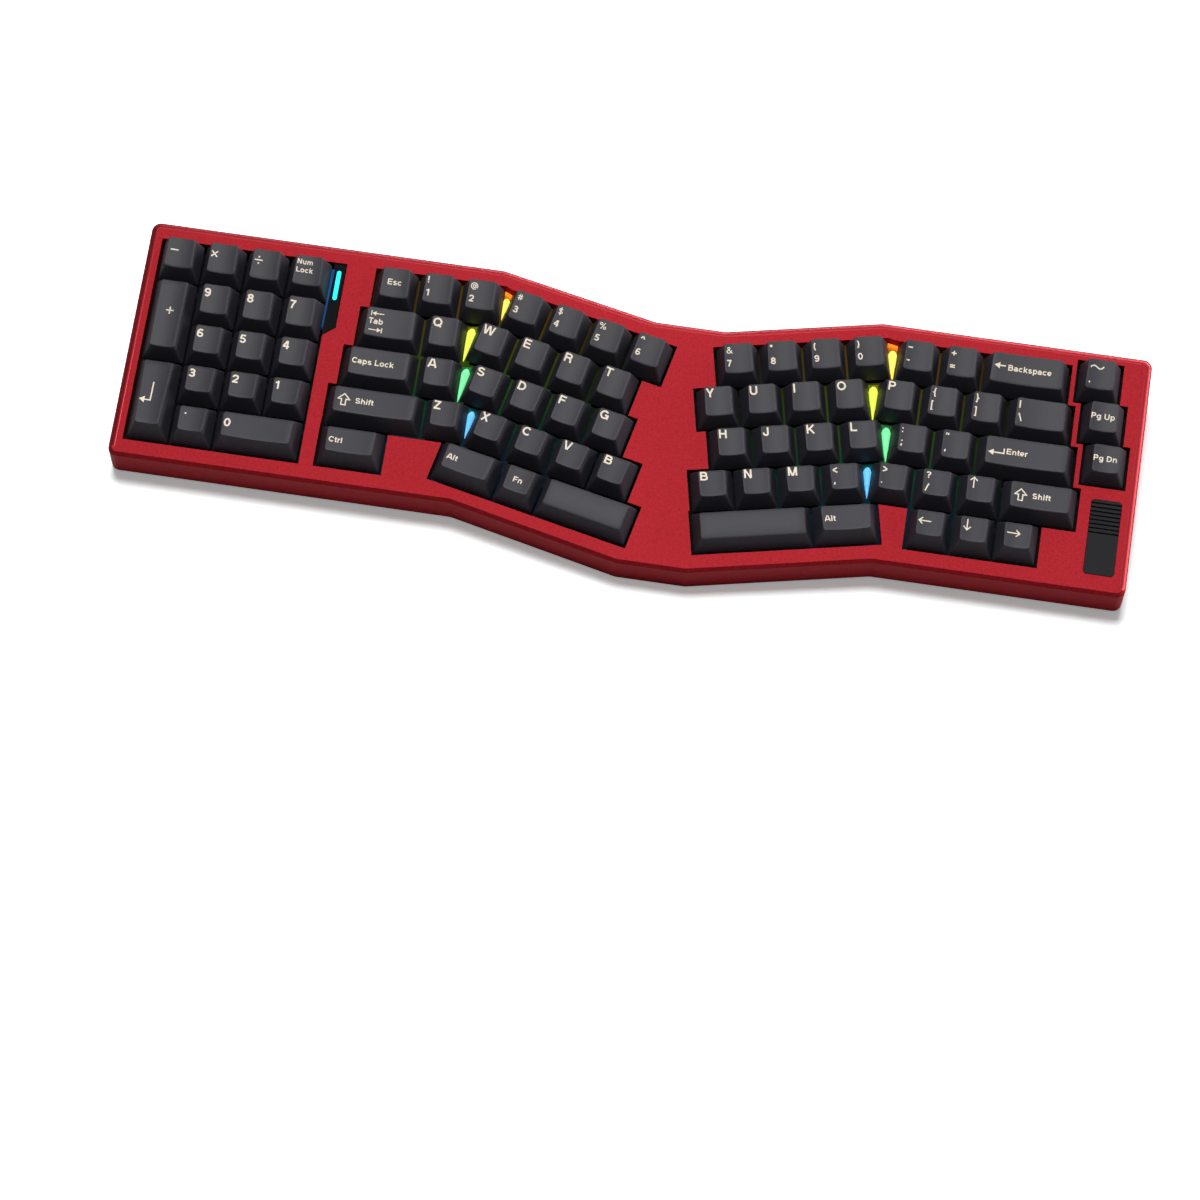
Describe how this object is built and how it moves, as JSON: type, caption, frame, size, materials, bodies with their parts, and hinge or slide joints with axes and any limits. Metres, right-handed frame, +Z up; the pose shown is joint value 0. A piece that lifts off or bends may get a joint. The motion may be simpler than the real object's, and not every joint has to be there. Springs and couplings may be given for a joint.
{
  "type": "ergonomic mechanical keyboard",
  "caption": "Split-angle mechanical keyboard with a left numpad, turned inner key blocks, a wavy red metal case and a ribbed weighted underside.",
  "frame": {"origin": "centre of the keyboard's footprint box, on the desk that its four rubber feet stand on", "axes": "+X to the user's right along the straight key rows, +Y away from the user to the rear, +Z up from the desk"},
  "size_m": [0.4456, 0.1316, 0.0427],
  "materials": {
    "case_red": "fine bead-blasted red anodised",
    "weight_black": "satin black coated",
    "bar_black": "satin black anodised ribs",
    "emblem_black": "satin black, bare",
    "foot_rubber": "matt",
    "badge_black": "satin black, grooved",
    "indicator_black": "smooth",
    "light_cyan": "translucent, lit",
    "light_blue": "translucent, lit",
    "light_wedges": "translucent, lit from below",
    "light_orange": "translucent, lit",
    "plate_metal": "black anodised sheet",
    "board": "solder mask",
    "foam": "closed-cell foam",
    "gasket_rubber": "soft matt",
    "shell_steel": "drawn sheet",
    "screw_steel": "black oxide",
    "housing_plastic": "moulded",
    "keycap_plastic": "fine moulded texture"
  },
  "bodies": {
    "case": {"board_foam": "foam", "bottom_weight": "weight_black", "case_bottom": "case_red", "case_screws": "screw_steel", "case_top": "case_red", "circuit_board": "board", "connector_board": "board", "deck_badge": "badge_black", "emblem_plate": "emblem_black", "front_feet": "foot_rubber", "gasket_strips": "gasket_rubber", "indicator_cover": "indicator_black", "indicator_edge_strip": "light_blue", "indicator_light_bar": "light_cyan", "light_blocks": "light_orange", "light_wedges_left": "light_wedges", "light_wedges_right": "light_wedges", "rear_feet": "foot_rubber", "ribbed_bar": "bar_black", "stabiliser_housings": "housing_plastic", "switch_housings": "housing_plastic", "switch_plate": "plate_metal", "usb_c_receptacle": "shell_steel"},
    "key_arrow_down": {"key_arrow_down": "keycap_plastic"},
    "key_arrow_left": {"key_arrow_left": "keycap_plastic"},
    "key_arrow_right": {"key_arrow_right": "keycap_plastic"},
    "key_arrow_up": {"key_arrow_up": "keycap_plastic"},
    "key_backslash": {"key_backslash": "keycap_plastic"},
    "key_backspace": {"key_backspace": "keycap_plastic"},
    "key_caps_lock": {"key_caps_lock": "keycap_plastic"},
    "key_enter": {"key_enter": "keycap_plastic"},
    "key_escape": {"key_escape": "keycap_plastic"},
    "key_function": {"key_function": "keycap_plastic"},
    "key_left_alt": {"key_left_alt": "keycap_plastic"},
    "key_left_control": {"key_left_control": "keycap_plastic"},
    "key_left_shift": {"key_left_shift": "keycap_plastic"},
    "key_left_space": {"key_left_space": "keycap_plastic"},
    "key_numpad_enter": {"key_numpad_enter": "keycap_plastic"},
    "key_numpad_minus": {"key_numpad_minus": "keycap_plastic"},
    "key_numpad_plus": {"key_numpad_plus": "keycap_plastic"},
    "key_numpad_point": {"key_numpad_point": "keycap_plastic"},
    "key_numpad_zero": {"key_numpad_zero": "keycap_plastic"},
    "key_page_down": {"key_page_down": "keycap_plastic"},
    "key_page_up": {"key_page_up": "keycap_plastic"},
    "key_right_alt": {"key_right_alt": "keycap_plastic"},
    "key_right_shift": {"key_right_shift": "keycap_plastic"},
    "key_right_space": {"key_right_space": "keycap_plastic"},
    "key_tab": {"key_tab": "keycap_plastic"},
    "key_tilde": {"key_tilde": "keycap_plastic"},
    "keys_1_to_6": {"keys_1_to_6": "keycap_plastic"},
    "keys_7_to_equals": {"keys_7_to_equals": "keycap_plastic"},
    "keys_a_to_g": {"keys_a_to_g": "keycap_plastic"},
    "keys_h_to_quote": {"keys_h_to_quote": "keycap_plastic"},
    "keys_n_to_slash": {"keys_n_to_slash": "keycap_plastic"},
    "keys_numpad_digits": {"keys_numpad_digits": "keycap_plastic"},
    "keys_numpad_operators": {"keys_numpad_operators": "keycap_plastic"},
    "keys_q_to_t": {"keys_q_to_t": "keycap_plastic"},
    "keys_y_to_bracket": {"keys_y_to_bracket": "keycap_plastic"},
    "keys_z_to_b": {"keys_z_to_b": "keycap_plastic"}
  },
  "joints": [
    {"name": "key_arrow_down_press", "type": "slide", "parent": "case", "child": "key_arrow_down", "axis": [0, 0.1219, -0.9925], "range_m": [0, 0.004], "stiffness_N_per_m": 100, "springref_m": -0.003},
    {"name": "key_arrow_left_press", "type": "slide", "parent": "case", "child": "key_arrow_left", "axis": [0, 0.1219, -0.9925], "range_m": [0, 0.004], "stiffness_N_per_m": 100, "springref_m": -0.003},
    {"name": "key_arrow_right_press", "type": "slide", "parent": "case", "child": "key_arrow_right", "axis": [0, 0.1219, -0.9925], "range_m": [0, 0.004], "stiffness_N_per_m": 100, "springref_m": -0.003},
    {"name": "key_arrow_up_press", "type": "slide", "parent": "case", "child": "key_arrow_up", "axis": [0, 0.1219, -0.9925], "range_m": [0, 0.004], "stiffness_N_per_m": 100, "springref_m": -0.003},
    {"name": "key_backslash_press", "type": "slide", "parent": "case", "child": "key_backslash", "axis": [0, 0.1219, -0.9925], "range_m": [0, 0.004], "stiffness_N_per_m": 100, "springref_m": -0.003},
    {"name": "key_backspace_press", "type": "slide", "parent": "case", "child": "key_backspace", "axis": [0, 0.1219, -0.9925], "range_m": [0, 0.004], "stiffness_N_per_m": 100, "springref_m": -0.003},
    {"name": "key_caps_lock_press", "type": "slide", "parent": "case", "child": "key_caps_lock", "axis": [0, 0.1219, -0.9925], "range_m": [0, 0.004], "stiffness_N_per_m": 100, "springref_m": -0.003},
    {"name": "key_enter_press", "type": "slide", "parent": "case", "child": "key_enter", "axis": [0, 0.1219, -0.9925], "range_m": [0, 0.004], "stiffness_N_per_m": 100, "springref_m": -0.003},
    {"name": "key_escape_press", "type": "slide", "parent": "case", "child": "key_escape", "axis": [0, 0.1219, -0.9925], "range_m": [0, 0.004], "stiffness_N_per_m": 100, "springref_m": -0.003},
    {"name": "key_function_press", "type": "slide", "parent": "case", "child": "key_function", "axis": [0, 0.1219, -0.9925], "range_m": [0, 0.004], "stiffness_N_per_m": 100, "springref_m": -0.003},
    {"name": "key_left_alt_press", "type": "slide", "parent": "case", "child": "key_left_alt", "axis": [0, 0.1219, -0.9925], "range_m": [0, 0.004], "stiffness_N_per_m": 100, "springref_m": -0.003},
    {"name": "key_left_control_press", "type": "slide", "parent": "case", "child": "key_left_control", "axis": [0, 0.1219, -0.9925], "range_m": [0, 0.004], "stiffness_N_per_m": 100, "springref_m": -0.003},
    {"name": "key_left_shift_press", "type": "slide", "parent": "case", "child": "key_left_shift", "axis": [0, 0.1219, -0.9925], "range_m": [0, 0.004], "stiffness_N_per_m": 100, "springref_m": -0.003},
    {"name": "key_left_space_press", "type": "slide", "parent": "case", "child": "key_left_space", "axis": [0, 0.1219, -0.9925], "range_m": [0, 0.004], "stiffness_N_per_m": 100, "springref_m": -0.003},
    {"name": "key_numpad_enter_press", "type": "slide", "parent": "case", "child": "key_numpad_enter", "axis": [0, 0.1219, -0.9925], "range_m": [0, 0.004], "stiffness_N_per_m": 100, "springref_m": -0.003},
    {"name": "key_numpad_minus_press", "type": "slide", "parent": "case", "child": "key_numpad_minus", "axis": [0, 0.1219, -0.9925], "range_m": [0, 0.004], "stiffness_N_per_m": 100, "springref_m": -0.003},
    {"name": "key_numpad_plus_press", "type": "slide", "parent": "case", "child": "key_numpad_plus", "axis": [0, 0.1219, -0.9925], "range_m": [0, 0.004], "stiffness_N_per_m": 100, "springref_m": -0.003},
    {"name": "key_numpad_point_press", "type": "slide", "parent": "case", "child": "key_numpad_point", "axis": [0, 0.1219, -0.9925], "range_m": [0, 0.004], "stiffness_N_per_m": 100, "springref_m": -0.003},
    {"name": "key_numpad_zero_press", "type": "slide", "parent": "case", "child": "key_numpad_zero", "axis": [0, 0.1219, -0.9925], "range_m": [0, 0.004], "stiffness_N_per_m": 100, "springref_m": -0.003},
    {"name": "key_page_down_press", "type": "slide", "parent": "case", "child": "key_page_down", "axis": [0, 0.1219, -0.9925], "range_m": [0, 0.004], "stiffness_N_per_m": 100, "springref_m": -0.003},
    {"name": "key_page_up_press", "type": "slide", "parent": "case", "child": "key_page_up", "axis": [0, 0.1219, -0.9925], "range_m": [0, 0.004], "stiffness_N_per_m": 100, "springref_m": -0.003},
    {"name": "key_right_alt_press", "type": "slide", "parent": "case", "child": "key_right_alt", "axis": [0, 0.1219, -0.9925], "range_m": [0, 0.004], "stiffness_N_per_m": 100, "springref_m": -0.003},
    {"name": "key_right_shift_press", "type": "slide", "parent": "case", "child": "key_right_shift", "axis": [0, 0.1219, -0.9925], "range_m": [0, 0.004], "stiffness_N_per_m": 100, "springref_m": -0.003},
    {"name": "key_right_space_press", "type": "slide", "parent": "case", "child": "key_right_space", "axis": [0, 0.1219, -0.9925], "range_m": [0, 0.004], "stiffness_N_per_m": 100, "springref_m": -0.003},
    {"name": "key_tab_press", "type": "slide", "parent": "case", "child": "key_tab", "axis": [0, 0.1219, -0.9925], "range_m": [0, 0.004], "stiffness_N_per_m": 100, "springref_m": -0.003},
    {"name": "key_tilde_press", "type": "slide", "parent": "case", "child": "key_tilde", "axis": [0, 0.1219, -0.9925], "range_m": [0, 0.004], "stiffness_N_per_m": 100, "springref_m": -0.003},
    {"name": "keys_1_to_6_press", "type": "slide", "parent": "case", "child": "keys_1_to_6", "axis": [0, 0.1219, -0.9925], "range_m": [0, 0.004], "stiffness_N_per_m": 600, "springref_m": -0.003},
    {"name": "keys_7_to_equals_press", "type": "slide", "parent": "case", "child": "keys_7_to_equals", "axis": [0, 0.1219, -0.9925], "range_m": [0, 0.004], "stiffness_N_per_m": 600, "springref_m": -0.003},
    {"name": "keys_a_to_g_press", "type": "slide", "parent": "case", "child": "keys_a_to_g", "axis": [0, 0.1219, -0.9925], "range_m": [0, 0.004], "stiffness_N_per_m": 500, "springref_m": -0.003},
    {"name": "keys_h_to_quote_press", "type": "slide", "parent": "case", "child": "keys_h_to_quote", "axis": [0, 0.1219, -0.9925], "range_m": [0, 0.004], "stiffness_N_per_m": 600, "springref_m": -0.003},
    {"name": "keys_n_to_slash_press", "type": "slide", "parent": "case", "child": "keys_n_to_slash", "axis": [0, 0.1219, -0.9925], "range_m": [0, 0.004], "stiffness_N_per_m": 600, "springref_m": -0.003},
    {"name": "keys_numpad_digits_press", "type": "slide", "parent": "case", "child": "keys_numpad_digits", "axis": [0, 0.1219, -0.9925], "range_m": [0, 0.004], "stiffness_N_per_m": 900, "springref_m": -0.003},
    {"name": "keys_numpad_operators_press", "type": "slide", "parent": "case", "child": "keys_numpad_operators", "axis": [0, 0.1219, -0.9925], "range_m": [0, 0.004], "stiffness_N_per_m": 300, "springref_m": -0.003},
    {"name": "keys_q_to_t_press", "type": "slide", "parent": "case", "child": "keys_q_to_t", "axis": [0, 0.1219, -0.9925], "range_m": [0, 0.004], "stiffness_N_per_m": 500, "springref_m": -0.003},
    {"name": "keys_y_to_bracket_press", "type": "slide", "parent": "case", "child": "keys_y_to_bracket", "axis": [0, 0.1219, -0.9925], "range_m": [0, 0.004], "stiffness_N_per_m": 700, "springref_m": -0.003},
    {"name": "keys_z_to_b_press", "type": "slide", "parent": "case", "child": "keys_z_to_b", "axis": [0, 0.1219, -0.9925], "range_m": [0, 0.004], "stiffness_N_per_m": 500, "springref_m": -0.003}
  ]
}
